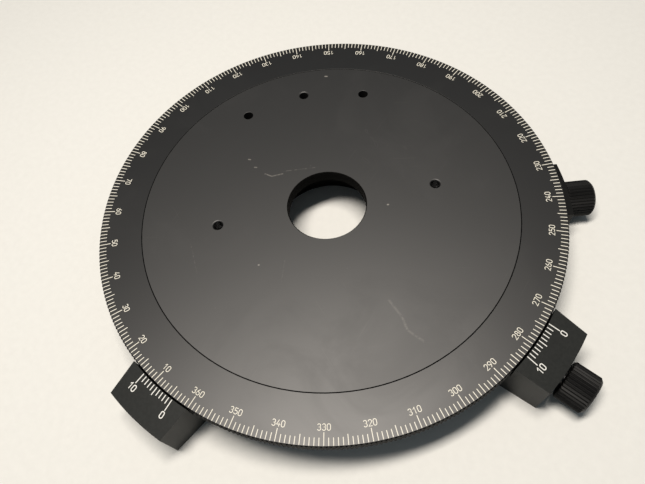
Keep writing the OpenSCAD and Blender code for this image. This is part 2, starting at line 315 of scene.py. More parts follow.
def build_smudge_group() -> Tree:
    """Dull finger smudges and specks of dust.

    Returns:
        A group with Smudge and Speck masks.
    """
    group = GroupBuilder("smudges_and_dust", {"Smudge Scale": 22.0, "Speck Scale": 420.0},
                         ("Smudge", "Speck"))
    smudge = group.fed("TexNoise", Detail=5.0, Roughness=0.6, Distortion=0.6)
    speck = group.fed("TexVoronoi", feature="F1", Randomness=1.0)
    for node, label in ((smudge, "Smudge Scale"), (speck, "Speck Scale")):
        group.link(group.source[label], node.inputs["Scale"])
    picked = ramp(group.tree, speck.outputs["Color"], *SPECK_PICK_SPAN)
    near = ramp(group.tree, speck.outputs["Distance"], *SPECK_SIZE_SPAN)
    group.link(ramp(group.tree, smudge.outputs["Fac"], *SMUDGE_SPAN), group.result["Smudge"])
    group.link(math_node(group.tree, "MULTIPLY", picked, near), group.result["Speck"])
    return group.tree


def build_edge_group() -> Tree:
    """Wear along machined edges, from the edge attribute that rounded pieces carry.

    Returns:
        A group with Mask, broken up by noise.
    """
    group = GroupBuilder("edge_wear", {"Amount": 0.5}, ("Mask",))
    edge = group.add("Attribute", attribute_name=EDGE_ATTRIBUTE)
    noise = group.fed("TexNoise", Scale=260.0, Detail=4.0, Roughness=0.7)
    broken = ramp(group.tree, noise.outputs["Fac"], *WEAR_SPAN)
    worn = math_node(group.tree, "MULTIPLY", edge.outputs["Fac"], broken)
    shown = math_node(group.tree, "MULTIPLY", worn, group.source["Amount"])
    group.link(shown, group.result["Mask"])
    return group.tree


def build_turning_group() -> Tree:
    """Concentric turning marks around the Z axis.

    Returns:
        A group with Height, which changes with the radius only.
    """
    group = GroupBuilder("turning_marks", {"Pitch Scale": 2500.0},
                         ("Height",))
    flat = group.fed("VectorMath", operation="MULTIPLY")
    flat.inputs[1].default_value = (1.0, 1.0, 0.0)
    radius = group.add("VectorMath", operation="LENGTH")
    group.link(flat.outputs["Vector"], radius.inputs[0])
    noise = group.add("TexNoise", noise_dimensions="1D", Detail=2.0, Roughness=0.6)
    group.link(radius.outputs["Value"], noise.inputs["W"])
    group.link(group.source["Pitch Scale"], noise.inputs["Scale"])
    group.link(noise.outputs["Fac"], group.result["Height"])
    return group.tree


def build_stroke_group() -> Tree:
    """One soft mark along a straight line between two points.

    Returns:
        A group with Mask, 1 in the middle of the line and broken up by noise.
    """
    group = GroupBuilder("stroke_mark",
                         {"Start": None, "Run": None, "Width": 0.001, "Break": 0.5},
                         ("Mask",))
    tree = group.tree
    source = group.source
    from_start = group.fed("VectorMath", operation="SUBTRACT")
    group.link(source["Start"], from_start.inputs[1])
    along = group.add("VectorMath", operation="DOT_PRODUCT")
    whole = group.add("VectorMath", operation="DOT_PRODUCT")
    for node, first in ((along, from_start.outputs["Vector"]), (whole, source["Run"])):
        group.link(first, node.inputs[0])
        group.link(source["Run"], node.inputs[1])
    share = add_node(tree, "Math", operation="DIVIDE", use_clamp=True)
    group.link(along.outputs["Value"], share.inputs[0])
    group.link(whole.outputs["Value"], share.inputs[1])
    foot = group.add("VectorMath", operation="SCALE")
    group.link(source["Run"], foot.inputs[0])
    group.link(share.outputs[0], foot.inputs["Scale"])
    off = group.add("VectorMath", operation="DISTANCE")
    group.link(from_start.outputs["Vector"], off.inputs[0])
    group.link(foot.outputs["Vector"], off.inputs[1])
    reach = math_node(tree, "DIVIDE", off.outputs["Value"], source["Width"])
    body = ramp(tree, reach, 0.0, 1.0, 1.0, 0.0)
    noise = group.fed("TexNoise", Scale=900.0, Detail=3.0, Roughness=0.65)
    gaps = math_node(tree, "SUBTRACT", noise.outputs["Fac"], source["Break"])
    kept = math_node(tree, "MULTIPLY", ramp(tree, gaps, *GAP_SPAN), body)
    group.link(kept, group.result["Mask"])
    return tree


class Effects:
    """The shared node groups, built once."""

    def __init__(self) -> None:
        """Builds every group."""
        self.grain = build_grain_group()
        self.scratches = build_scratch_group()
        self.smudges = build_smudge_group()
        self.edges = build_edge_group()
        self.turning = build_turning_group()
        self.stroke = build_stroke_group()


# ---- finishes


@dataclass(frozen=True)
class Mark:
    """One handling mark on a face.

    Attributes:
        start: where it begins, in millimetres.
        stop: where it ends, in millimetres.
        width: its half width, in millimetres.
        strength: how strongly it shows, from 0 to 1.
        gaps: how much of it is missing, from 0 to 1.
    """

    start: Triple
    stop: Triple
    width: float
    strength: float
    gaps: float = 0.45


@dataclass(frozen=True)
class Finish:
    """A metal, paint or rubber finish with grain, handling marks and edge wear.

    Attributes:
        name: the material's name.
        slot: the record's slot that the finish belongs to.
        colour: the main colour.
        cloud: the colour that slow variation mixes in.
        worn: the colour of worn edges and scratches.
        metallic: how metallic the skin is.
        rough: roughness where clean and under smudges.
        grain: height of the fine grain, in metres.
        grain_scale: frequency of the fine grain.
        cloud_scale: frequency of the slow variation.
        turning: height of the turning marks, in metres.
        turning_scale: frequency of the turning marks.
        scratches: strength of the scratches.
        edge: strength of the edge wear.
        speck: strength of the dust specks.
        specular: specular level.
        scuffs: light marks at known places.
        stains: dark marks at known places.
    """

    name: str
    slot: Slot
    colour: Colour
    cloud: Colour
    worn: Colour
    metallic: float = 0.0
    rough: Span = (0.4, 0.5)
    grain: float = 2e-6
    grain_scale: float = 2500.0
    cloud_scale: float = 40.0
    turning: float = 0.0
    turning_scale: float = 2500.0
    scratches: float = 0.3
    edge: float = 0.3
    speck: float = 0.0
    specular: float = 0.5
    scuffs: tuple[Mark, ...] = ()
    stains: tuple[Mark, ...] = ()

    def build(self, effects: Effects) -> Material:
        """Makes the material.

        Args:
            effects: the shared node groups.

        Returns:
            The material.
        """
        material = bpy.data.materials.new(self.name)
        material.use_nodes = True
        tree = material.node_tree
        shader = tree.nodes["Principled BSDF"]
        shader.inputs["Metallic"].default_value = self.metallic
        shader.inputs["Specular IOR Level"].default_value = self.specular
        place = add_node(tree, "TexCoord").outputs["Object"]

        grain = self._group(tree, effects.grain, place, Grain_Scale=self.grain_scale,
                            Cloud_Scale=self.cloud_scale)
        scratches = self._group(tree, effects.scratches, place, Amount=self.scratches)
        smudges = self._group(tree, effects.smudges, place)
        edges = self._group(tree, effects.edges, place, Amount=self.edge)

        skin = mix_colours(tree, grain.outputs["Value"], self.colour, self.cloud)
        marks = math_node(tree, "MAXIMUM", scratches.outputs["Mask"], edges.outputs["Mask"])
        if self.speck > 0:
            dust = math_node(tree, "MULTIPLY", smudges.outputs["Speck"], self.speck)
            marks = math_node(tree, "MAXIMUM", marks, dust)
        scuffed = self._strokes(tree, effects, place, self.scuffs)
        if scuffed is not None:
            marks = math_node(tree, "MAXIMUM", marks, scuffed)
        stained = self._strokes(tree, effects, place, self.stains)
        if stained is not None:
            skin = mix_colours(tree, stained, skin, STAIN_COLOUR)
        tree.links.new(mix_colours(tree, marks, skin, self.worn), shader.inputs["Base Color"])

        rough = ramp(tree, smudges.outputs["Smudge"], 0.0, 1.0, *self.rough)
        if stained is not None:
            rough = math_node(tree, "ADD", rough, math_node(tree, "MULTIPLY", stained, STAIN_ROUGHNESS))
        tree.links.new(rough, shader.inputs["Roughness"])

        height = math_node(tree, "MULTIPLY", grain.outputs["Height"], self.grain)
        if self.turning > 0:
            turning = self._group(tree, effects.turning, place, Pitch_Scale=self.turning_scale)
            rings = math_node(tree, "MULTIPLY", turning.outputs["Height"], self.turning)
            height = math_node(tree, "ADD", height, rings)
        bump = add_node(tree, "Bump")
        bump.inputs["Strength"].default_value = 1.0
        bump.inputs["Distance"].default_value = 1.0
        tree.links.new(height, bump.inputs["Height"])
        tree.links.new(bump.outputs["Normal"], shader.inputs["Normal"])
        return material

    def _strokes(self, tree: Tree, effects: Effects, place: Socket,
                 strokes: tuple[Mark, ...]) -> Socket | None:
        """Adds up the masks of a list of marks.

        Args:
            tree: the material's node tree.
            effects: the shared node groups.
            place: the coordinates.
            strokes: the marks.

        Returns:
            The mask, or None for no marks.
        """
        total = None
        for mark in strokes:
            run = [(b - a) * MM for a, b in zip(mark.start, mark.stop)]
            node = self._group(tree, effects.stroke, place, Start=[v * MM for v in mark.start], Run=run,
                               Width=mark.width * MM, Break=mark.gaps)
            shown = math_node(tree, "MULTIPLY", node.outputs["Mask"], mark.strength)
            total = shown if total is None else math_node(tree, "MAXIMUM", total, shown)
        return total

    @staticmethod
    def _group(tree: Tree, group: Tree, place: Socket, **values: object) -> Node:
        """Places a group in a material.

        Args:
            tree: the material's node tree.
            group: the group.
            place: the coordinates that feed it.
            values: its other inputs by name, with underscores for spaces.

        Returns:
            The group's node.
        """
        node = tree.nodes.new("ShaderNodeGroup")
        node.node_tree = group
        tree.links.new(place, node.inputs["Vector"])
        for key, value in values.items():
            node.inputs[key.replace("_", " ")].default_value = value
        return node


FACE_Z = 24.0


def face_marks(*rows: tuple[float, ...]) -> tuple[Mark, ...]:
    """Marks on the table's face, each given as x, y, x, y, half width, strength and gaps."""
    return tuple(Mark((x0, y0, FACE_Z), (x1, y1, FACE_Z), *rest) for x0, y0, x1, y1, *rest in rows)


PLATE_SCUFFS = face_marks(
    (47.6, -20.2, 55.9, -22.9, 0.8, 0.16), (55.9, -22.9, 60.3, -25.9, 0.8, 0.22),
    (60.3, -25.9, 67.6, -25.8, 0.8, 0.18), (-33.0, -3.8, -29.6, -3.0, 0.5, 0.5),
    (-29.6, -3.0, -26.5, 0.9, 0.5, 0.4), (-27.4, 1.9, -16.8, 12.2, 0.4, 0.2, 0.5),
    (-44.8, -2.2, -44.0, -1.8, 0.5, 0.6, 0.3), (-39.4, -3.9, -38.6, -3.4, 0.5, 0.5, 0.35),
    (21.2, 15.3, 21.4, 15.5, 0.55, 0.95, 0.2), (-4.0, -39.8, -3.8, -39.6, 0.45, 0.95, 0.2),
    (-48.9, 58.8, -48.1, 59.3, 0.6, 0.9, 0.25), (3.0, -31.0, 8.5, -39.5, 0.35, 0.12, 0.55),
    (-22.0, -58.0, -34.0, -50.0, 0.35, 0.12, 0.55),
)
PLATE_STAINS = face_marks(
    (-11.2, 42.8, -10.4, 42.2, 0.8, 0.9, 0.25), (-10.4, 42.2, -3.6, 39.6, 0.35, 0.5, 0.5),
    (-3.6, 39.6, -1.6, 38.4, 0.75, 0.9, 0.3), (-2.2, 28.9, 0.8, 28.6, 0.7, 0.9, 0.3),
    (9.0, 45.0, 10.0, 44.6, 0.8, 0.4, 0.4), (14.0, 36.0, 18.0, 31.0, 0.6, 0.25, 0.5),
)

PLATE_BLACK = Finish(
    "plate_anodised", Slot.TABLE, (0.0085, 0.0084, 0.0082), (0.01, 0.0098, 0.0095), (0.3, 0.28, 0.25),
    rough=(0.475, 0.515), grain=5e-6, grain_scale=1500, cloud_scale=14, turning=0.6e-6,
    turning_scale=1800, scratches=0.03, edge=0.12, speck=0.1, specular=0.88, scuffs=PLATE_SCUFFS,
    stains=PLATE_STAINS
)
RING_BLACK = Finish(
    "ring_anodised", Slot.TABLE, (0.006, 0.006, 0.0061), (0.0072, 0.0072, 0.0072), (0.22, 0.21, 0.19),
    rough=(0.43, 0.46), grain=4.2e-6, grain_scale=1500, cloud_scale=14, turning=0.6e-6,
    turning_scale=1800, scratches=0.02, edge=0.02, speck=0.06, specular=0.72
)
BLOCK_BLACK = Finish(
    "block_anodised", Slot.BLOCK, (0.0178, 0.0192, 0.018), (0.0225, 0.024, 0.0226), (0.2, 0.19, 0.18),
    rough=(0.5, 0.55), grain=4e-6, grain_scale=2300, cloud_scale=900, scratches=0.05, edge=0.08,
    speck=0.1, specular=0.24
)
# Painted shade: the low clamp block is much darker than the vernier blocks, for the shade that the table's rim
# casts on it.
CLAMP_PAINTED_SHADE = Finish(
    "clamp_block_painted_shade", Slot.BLOCK, (0.005, 0.0051, 0.005), (0.0066, 0.0067, 0.0065), (0.1, 0.095, 0.09),
    rough=(0.5, 0.56), grain=4e-6, grain_scale=2300, cloud_scale=900, scratches=0.04, edge=0.02,
    speck=0.04, specular=0.15
)
BASE_BLACK = Finish(
    "base_anodised", Slot.BASE, (0.013, 0.0125, 0.012), (0.0155, 0.0148, 0.014), (0.2, 0.19, 0.18),
    rough=(0.5, 0.56), grain=4e-6, turning=1e-6, turning_scale=1500, scratches=0.08, edge=0.15,
    speck=0.12, specular=0.35
)
KNOB_BLACK = Finish(
    "knob_anodised", Slot.KNOB, (0.0042, 0.0041, 0.004), (0.0055, 0.0052, 0.005), (0.09, 0.085, 0.08),
    rough=(0.46, 0.52), scratches=0.03, edge=0.01, speck=0.04, specular=0.26
)
# Painted shade: a darker, duller copy of the ring's anodising for the knurled rim's side faces, so the rim
# reads black.
RIM_PAINTED_SHADE = Finish(
    "rim_painted_shade", Slot.TABLE, (0.0026, 0.0026, 0.0026), (0.0034, 0.0033, 0.0033), (0.1, 0.095, 0.09),
    rough=(0.55, 0.6), grain_scale=2600, scratches=0.02, edge=0.03, speck=0.03,
    specular=0.07
)
# Painted shade: a darker, duller copy of the anodising for the bore's wall and the spindle, so the bore reads
# black.
BORE_PAINTED_SHADE = Finish(
    "bore_painted_shade", Slot.TABLE, (0.0035, 0.0033, 0.003), (0.0045, 0.0042, 0.0038), (0.03, 0.028, 0.025),
    rough=(0.8, 0.85), grain=6e-6, grain_scale=2300, scratches=0.02, edge=0.0, speck=0.02, specular=0.06
)
SHAFT = Finish(
    "blackened_steel", Slot.SHAFT, (0.11, 0.11, 0.112), (0.15, 0.15, 0.152), (0.4, 0.4, 0.41), metallic=1.0,
    rough=(0.42, 0.52), turning=3e-6, edge=0.3
)
STEEL = Finish(
    "ground_steel", Slot.STEEL, (0.52, 0.53, 0.54), (0.42, 0.43, 0.44), (0.75, 0.75, 0.76), metallic=1.0,
    rough=(0.26, 0.38), turning=3e-6, edge=0.4
)
SCREW = Finish(
    "screw_black_oxide", Slot.SCREW, (0.06, 0.06, 0.065), (0.09, 0.09, 0.095), (0.45, 0.45, 0.46),
    metallic=0.9, rough=(0.32, 0.45), grain=3e-6, edge=0.5
)
BALL = Finish(
    "polished_ball", Slot.BALL, (0.8, 0.8, 0.81), (0.72, 0.73, 0.74), (0.6, 0.6, 0.6), metallic=1.0,
    rough=(0.07, 0.12), grain=0.3e-6, scratches=0.05
)
BRASS = Finish(
    "turned_brass", Slot.BRASS, (0.62, 0.44, 0.17), (0.5, 0.34, 0.12), (0.85, 0.7, 0.4), metallic=1.0,
    rough=(0.24, 0.36), turning=3e-6
)
RUBBER = Finish(
    "tyre_rubber", Slot.RUBBER, (0.014, 0.014, 0.014), (0.022, 0.021, 0.02), (0.06, 0.06, 0.06),
    rough=(0.75, 0.85), grain=20e-6, scratches=0.1, edge=0.1
)
FELT = Finish(
    "pressed_felt", Slot.FELT, (0.05, 0.048, 0.045), (0.09, 0.085, 0.08), (0.2, 0.19, 0.18),
    rough=(0.95, 1.0), grain=120e-6, grain_scale=1400, scratches=0.0, edge=0.0
)
NYLON = Finish(
    "turned_nylon", Slot.NYLON, (0.72, 0.69, 0.6), (0.66, 0.62, 0.52), (0.5, 0.47, 0.4), rough=(0.5, 0.6),
    grain=4e-6, scratches=0.1, edge=0.1
)
DIAL_PAINT = Finish(
    "dial_paint", Slot.TABLE, (0.93, 0.9, 0.79), (0.86, 0.83, 0.71), (0.42, 0.4, 0.35), rough=(0.6, 0.7),
    grain=6e-6, scratches=0.15, edge=0.0
)
VERNIER_PAINT = Finish(
    "vernier_paint", Slot.BLOCK, (0.92, 0.92, 0.88), (0.86, 0.86, 0.81), (0.5, 0.49, 0.46),
    rough=(0.5, 0.65), grain=6e-6, scratches=0.1, edge=0.0
)

CARRIED_OVER: tuple[tuple[Finish, tuple[str, ...]], ...] = (
    (BASE_BLACK, ("base_plate",)),
    # The spindle inside the bore takes the bore's painted shade.
    (BORE_PAINTED_SHADE, ("spindle",)),
    (STEEL, ("outer_race", "inner_race", "bearing_retainer", "spindle_nut", "clamp_drum")),
    (SHAFT, ("fine_shaft", "clamp_screw")),
    (SCREW, ("retainer_screws", "block_screws", "ring_screws", "drum_screws", "spindle_screws",
             "fine_knob_screw", "clamp_knob_screw")),
    (BALL, ("bearing_balls",)),
    (BRASS, ("ball_cage", "wall_bush", "drive_bush", "clamp_bush", "friction_roller", "clamp_plug")),
    (RUBBER, ("roller_tyre",)),
    (NYLON, ("plug_tip",)),
    (FELT, ("felt_seal",)),
)


# ---- mesh helpers


def new_object(name: str, bm: BMesh, smooth_below: float = 32.0) -> Piece:
    """Turns a bmesh into a linked object with smooth shading inside an angle.

    Args:
        name: the piece's name.
        bm: the mesh, which is freed.
        smooth_below: edges under this angle, in degrees, are smooth.

    Returns:
        The object.
    """
    mesh = bpy.data.meshes.new(name)
    bm.to_mesh(mesh)
    bm.free()
    mesh.shade_smooth()
    mesh.set_sharp_from_angle(angle=math.radians(smooth_below))
    piece = bpy.data.objects.new(name, mesh)
    bpy.context.scene.collection.objects.link(piece)
    return piece


def dress(piece: Piece, material: Material, body: Body) -> None:
    """Gives a piece its material and the body that it rides on.

    Args:
        piece: the piece.
        material: its material.
        body: the body.
    """
    piece.data.materials.clear()
    piece.data.materials.append(material)
    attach(piece, body.value)


def dull(piece: Piece, material: Material, nearest: float, farthest: float) -> None:
    """Gives the steep faces between two distances from the axis a second material, which paints shade on them.

    Args:
        piece: the piece.
        material: the second material, a darker copy that paints shade.
        nearest: the least distance of a face's middle from the axis.
        farthest: the greatest distance of a face's middle from the axis.
    """
    piece.data.materials.append(material)
    for face in piece.data.polygons:
        radius = math.hypot(face.center.x, face.center.y)
        if nearest < radius < farthest and abs(face.normal.z) < STEEP_BELOW:
            face.material_index = 1


def softened(node: str, name: str, radius: float, segments: int = 2, sharper_than: float = 28.0,
             sink: float = 0.0) -> Piece:
    """Copies a CAD node's shape and rounds its outer edges.

    Args:
        node: the CAD node, which the copy replaces.
        name: the new piece's name.
        radius: the width of the rounding.
        segments: the steps in the rounding.
        sharper_than: only edges above this angle, in degrees, are rounded.
        sink: how far the top face is lowered, to leave room for the paint of its marks.

    Returns:
        The new piece.
    """
    bm = bmesh.new()
    bm.from_mesh(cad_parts[node].data)
    bmesh.ops.remove_doubles(bm, verts=bm.verts, dist=MERGE_BEFORE)
    bmesh.ops.dissolve_limit(bm, angle_limit=math.radians(FLAT_ANGLE), verts=bm.verts, edges=bm.edges)
    limit = math.radians(sharper_than)
    edges = [e for e in bm.edges
             if len(e.link_faces) == 2 and e.is_convex and e.calc_face_angle(0.0) > limit]
    layer = bm.faces.layers.float.new(EDGE_ATTRIBUTE)
    made = bmesh.ops.bevel(bm, geom=edges, offset=radius, offset_type="OFFSET", segments=segments,
                           profile=ROUND_PROFILE, affect="EDGES", clamp_overlap=True, loop_slide=True)
    for face in made["faces"]:
        face[layer] = 1.0
    bmesh.ops.remove_doubles(bm, verts=bm.verts, dist=MERGE_AFTER)
    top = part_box(node)[1].z
    for vert in bm.verts:
        if vert.co.z > top - sink / 2:
            vert.co.z -= sink
    bmesh.ops.triangulate(bm, faces=[f for f in bm.faces if len(f.verts) > 4])
    piece = new_object(name, bm)
    weighted = piece.modifiers.new("flat_faces_stay_flat", "WEIGHTED_NORMAL")
    weighted.keep_sharp = True
    weighted.weight = NORMAL_WEIGHT
    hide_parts(node)
    return piece


# ---- painted marks


def arc(centre: Point2, radius: float, start: float, stop: float, steps: int = 10) -> list[Point2]:
    """Points on an arc; angles are in degrees, counter-clockwise from +x."""
    angles = [math.radians(start + (stop - start) * i / steps) for i in range(steps + 1)]
    return [(centre[0] + radius * math.cos(a), centre[1] + radius * math.sin(a)) for a in angles]


@dataclass(frozen=True)
class Stroke:
    """One stroke of a figure, in units of the figure's height.

    Attributes:
        points: the stroke's line.
        closed: whether the line is a loop.
    """

    points: tuple[Point2, ...]
    closed: bool = False


def figure_strokes() -> dict[str, list[Stroke]]:
    """Engraver's figures, one unit high and standing on y = 0.

    Returns:
        Each figure's strokes.
    """
    half = 0.27
    top = arc((0, 1 - half), half, 180, 0) + arc((0, half), half, 0, -180)
    two = arc((0, 1 - half), half, 165, -35) + [(-half, 0.0), (half, 0.0)]
    three = arc((0, 0.75), 0.25, 150, -90, 12) + arc((0, 0.26), 0.27, 84, -150, 12)
    five = [(0.23, 1.0), (-0.19, 1.0), (-0.22, 0.56)] + arc((0, 0.31), 0.3, 128, -145, 12)
    bowl = tuple(arc((0, 0.29), 0.28, 0, 345, 15))
    return {
        "0": [Stroke(tuple(top[:-1]), True)],
        "1": [Stroke(((-0.17, 0.74), (0.07, 1.0), (0.07, 0.0)))],
        "2": [Stroke(tuple(two))],
        "3": [Stroke(tuple(three))],
        "4": [Stroke(((0.04, 1.0), (-0.28, 0.3), (0.29, 0.3))), Stroke(((0.12, 0.52), (0.12, 0.0)))],
        "5": [Stroke(tuple(five))],
        "6": [Stroke(bowl, True), Stroke(((-0.25, 0.42), (-0.12, 0.72), (0.09, 1.0)))],
        "7": [Stroke(((-0.27, 1.0), (0.27, 1.0), (-0.07, 0.0)))],
        "8": [Stroke(tuple(arc((0, 0.27), 0.27, 0, 345, 15)), True),
              Stroke(tuple(arc((0, 0.765), 0.225, 0, 345, 15)), True)],
        "9": [Stroke(tuple((-x, 1 - y) for x, y in bowl), True),
              Stroke(((0.25, 0.58), (0.12, 0.28), (-0.09, 0.0)))],
    }


@dataclass(frozen=True)
class Pen:
    """How a line of paint is drawn.

    Attributes:
        width: width of the line.
        below: how far the paint reaches under the surface.
        above: how far it stands proud.
    """

    width: float
    below: float = 0.05 * MM
    above: float = PAINT_PROUD

    def draw(self, bm: BMesh, points: Sequence[Point2], closed: bool, round_ends: bool,
             place: Placing) -> None:
        """Adds one closed ribbon of paint along a line.

        Args:
            bm: the mesh to add to.
            points: the line, in the mark's own plane.
            closed: whether the line is a loop.
            round_ends: whether open ends are round.
            place: turns plane coordinates and a height into a point in the row frame.
        """
        half = self.width / 2
        stations = self._stations(points, closed, half, round_ends)
        rings = []
        for (x, y), (nx, ny), reach in stations:
            sides = ((reach, -self.below), (reach, self.above * FLANK), (reach * SHOULDER, self.above),
                     (-reach * SHOULDER, self.above), (-reach, self.above * FLANK), (-reach, -self.below))
            rings.append([bm.verts.new(place(x + nx * s, y + ny * s, h)) for s, h in sides])
        count = len(rings)
        for i in range(count if closed else count - 1):
            a, b = rings[i], rings[(i + 1) % count]
            for j in range(len(a)):
                k = (j + 1) % len(a)
                bm.faces.new((a[j], a[k], b[k], b[j]))
        if not closed:
            bm.faces.new(list(reversed(rings[0])))
            bm.faces.new(rings[-1])

    @staticmethod
    def _stations(points: Sequence[Point2], closed: bool, half: float,
                  round_ends: bool) -> list[tuple[Point2, Point2, float]]:
        """Works out the steps of a line, with mitred corners.

        Args:
            points: the line.
            closed: whether it is a loop.
            half: half its width.
            round_ends: whether open ends are round.

        Returns:
            Place, side direction and half width at each step.
        """
        pts = [Vector(p) for p in points]
        count = len(pts)
        out: list[tuple[Point2, Point2, float]] = []
        for i, p in enumerate(pts):
            before = pts[i - 1] if closed or i > 0 else None
            after = pts[(i + 1) % count] if closed or i < count - 1 else None
            into = (p - before).normalized() if before is not None else (after - p).normalized()
            away = (after - p).normalized() if after is not None else into
            along = (into + away).normalized()
            mitre = min(1 / max(along.dot(into), LEAST_MITRE_COSINE), MITRE_LIMIT)
            out.append(((p.x, p.y), (-along.y, along.x), half * mitre))
        if round_ends and not closed:
            head = (pts[0] - pts[1]).normalized()
            tail = (pts[-1] - pts[-2]).normalized()
            cap = [(math.sin(t), math.cos(t)) for t in (math.radians(a) for a in CAP_ANGLES)]
            start = [((pts[0].x + head.x * half * s, pts[0].y + head.y * half * s), out[0][1], half * c)
                     for s, c in reversed(cap)]
            stop = [((pts[-1].x + tail.x * half * s, pts[-1].y + tail.y * half * s), out[-1][1], half * c)
                    for s, c in cap]
            out = start + out + stop
        return out


@dataclass
class Surface:
    """A face of revolution that marks are painted on.

    Attributes:
        level: the face's height.
        from_radius: the radius at which it has that height.
        fall: how far it drops for each unit outwards.
    """

    level: float
    from_radius: float = 0.0
    fall: float = 0.0

    def height(self, radius: float) -> float:
        """The face's height at a radius."""
        return self.level - self.fall * (radius - self.from_radius)

    def spot(self, angle: float, radius: float) -> Placing:
        """A drawing plane at a place on the face, with +y towards the axis.

        Args:
            angle: the place's angle about +Z, in degrees.
            radius: the place's distance from the axis.

        Returns:
            A function from plane coordinates and a height to a point in the row frame.
        """
        turn = math.radians(angle)
        out = Vector((math.cos(turn), math.sin(turn), 0.0))
        side = Vector((-math.sin(turn), math.cos(turn), 0.0))

        def place(x: float, y: float, above: float) -> Vector:
            """Puts a drawing point on the face."""
            flat = out * (radius - y) + side * x
            return flat + Vector((0.0, 0.0, self.height(math.hypot(flat.x, flat.y)) + above))

        return place


@dataclass
class Engraver:
    """Paints ticks and figures on a face and gathers them in one mesh.

    Attributes:
        surface: the face.
        tick_pen: the pen for ticks.
        figure_pen: the pen for figures.
        figure_height: the height of a figure between its strokes' middles.
        advance: the step from figure to figure, in figure heights.
    """

    surface: Surface
    tick_pen: Pen
    figure_pen: Pen
    figure_height: float
    advance: float = 0.78
    bm: BMesh = field(default_factory=bmesh.new)

    def tick(self, angle: float, inner: float, outer: float) -> None:
        """Draws one radial line."""
        place = self.surface.spot(angle, inner)
        self.tick_pen.draw(self.bm, ((0.0, 0.0), (0.0, inner - outer)), False, False, place)

    def number(self, text: str, angle: float, radius: float) -> None:
        """Draws a number, upright towards the axis.

        Args:
            text: its digits.
            angle: its angle about +Z, in degrees.
            radius: the radius of its middle.
        """
        place = self.surface.spot(angle, radius)
        size = self.figure_height
        shapes = figure_strokes()
        for i, letter in enumerate(text):
            shift = (i - (len(text) - 1) / 2) * self.advance
            for stroke in shapes[letter]:
                line = [((x + shift) * size, (y - 0.5) * size) for x, y in stroke.points]
                self.figure_pen.draw(self.bm, line, stroke.closed, True, place)

    def finish(self, name: str) -> Piece:
        """Makes the object from all marks so far."""
        bmesh.ops.recalc_face_normals(self.bm, faces=self.bm.faces)
        return new_object(name, self.bm, PAINT_SMOOTH_ANGLE)


# ---- sub-assemblies


class Workshop:
    """Holds the effects and makes each finish once."""

    def __init__(self) -> None:
        """Builds the node groups."""
        self.effects = Effects()
        self.made: dict[str, Material] = {}

    def material(self, finish: Finish) -> Material:
        """The material of a finish, built on first use.

        Args:
            finish: the finish.

        Returns:
            The material.
        """
        if finish.name not in self.made:
            self.made[finish.name] = finish.build(self.effects)
        return self.made[finish.name]

    def dress(self, piece: Piece, finish: Finish, body: Body) -> None:
        """Dresses one new piece and logs it."""
        dress(piece, self.material(finish), body)
        LOG.info("%s: %d faces on %s, %s", piece.name, len(piece.data.polygons), body.value, finish.name)

    def refinish(self, node: str, finish: Finish) -> None:
        """Gives a carried-over CAD node its material and logs it.

        Args:
            node: the CAD node.
            finish: its finish.
        """
        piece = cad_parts[node]
        if not piece.material_slots:
            piece.data.materials.append(None)
        for slot in piece.material_slots:
            slot.link = "OBJECT"
            slot.material = self.material(finish)
        LOG.info("%s: carried over, %s", node, finish.name)


@dataclass
class GraduatedTable:
    """The turning table: plate, knurled ring and the dial scale.

    Attributes:
        zero: the angle of mark zero about +Z, in degrees.
        tick_outer: radius at which every tick ends.
        tick_inner: radii at which ticks of one, five and ten degrees begin.
        figure_radius: radius of the figures' middles.
        figure_height: height of the figures between stroke middles.
        bore_radius: faces nearer to the axis than this are the bore's wall.
        rim_radius: faces farther out than this are the knurled rim.
        ring_edge, plate_edge: widths of the rounded edges.
        tick_width, figure_width: widths of the painted lines.
    """

    zero: float = 278.5
    tick_outer: float = 99.36 * MM
    tick_inner: Triple = (96.6 * MM, 95.7 * MM, 94.8 * MM)
    figure_radius: float = 93.05 * MM
    figure_height: float = 2.2 * MM
    bore_radius: float = 17.2 * MM
    rim_radius: float = 99.42 * MM
    ring_edge: float = 0.09 * MM
    plate_edge: float = 0.07 * MM
    tick_width: float = 0.29 * MM
    figure_width: float = 0.26 * MM

    def build(self, shop: Workshop) -> None:
        """Builds and dresses the table.

        Args:
            shop: the maker of materials.
        """
        ring = softened("scale_ring", "graduated_ring", self.ring_edge, 1, sink=PAINT_PROUD)
        shop.dress(ring, RING_BLACK, Body.TABLE)
        # The knurled rim's side faces take the darker finish that paints their shade.
        dull(ring, shop.material(RIM_PAINTED_SHADE), self.rim_radius, math.inf)
        plate = softened("table_plate", "table_top", self.plate_edge, 2, sink=PAINT_PROUD)
        shop.dress(plate, PLATE_BLACK, Body.TABLE)
        # The bore's wall takes the darker finish that paints the shade inside the bore.
        dull(plate, shop.material(BORE_PAINTED_SHADE), 0.0, self.bore_radius)
        self.build_scale(shop)

    def build_scale(self, shop: Workshop) -> None:
        """Draws the ticks of every degree and the figures of every tenth.

        Args:
            shop: the maker of materials.
        """
        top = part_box("scale_ring")[1].z - PAINT_PROUD
        engraver = Engraver(Surface(top), Pen(self.tick_width), Pen(self.figure_width), self.figure_height)
        for mark in range(360):
            kind = 2 if mark % 10 == 0 else 1 if mark % 5 == 0 else 0
            angle = self.zero - mark
            engraver.tick(angle, self.tick_inner[kind], self.tick_outer)
            if mark % 10 == 0:
                engraver.number(str(mark or 360), angle, self.figure_radius)
        shop.dress(engraver.finish("dial_scale"), DIAL_PAINT, Body.TABLE)


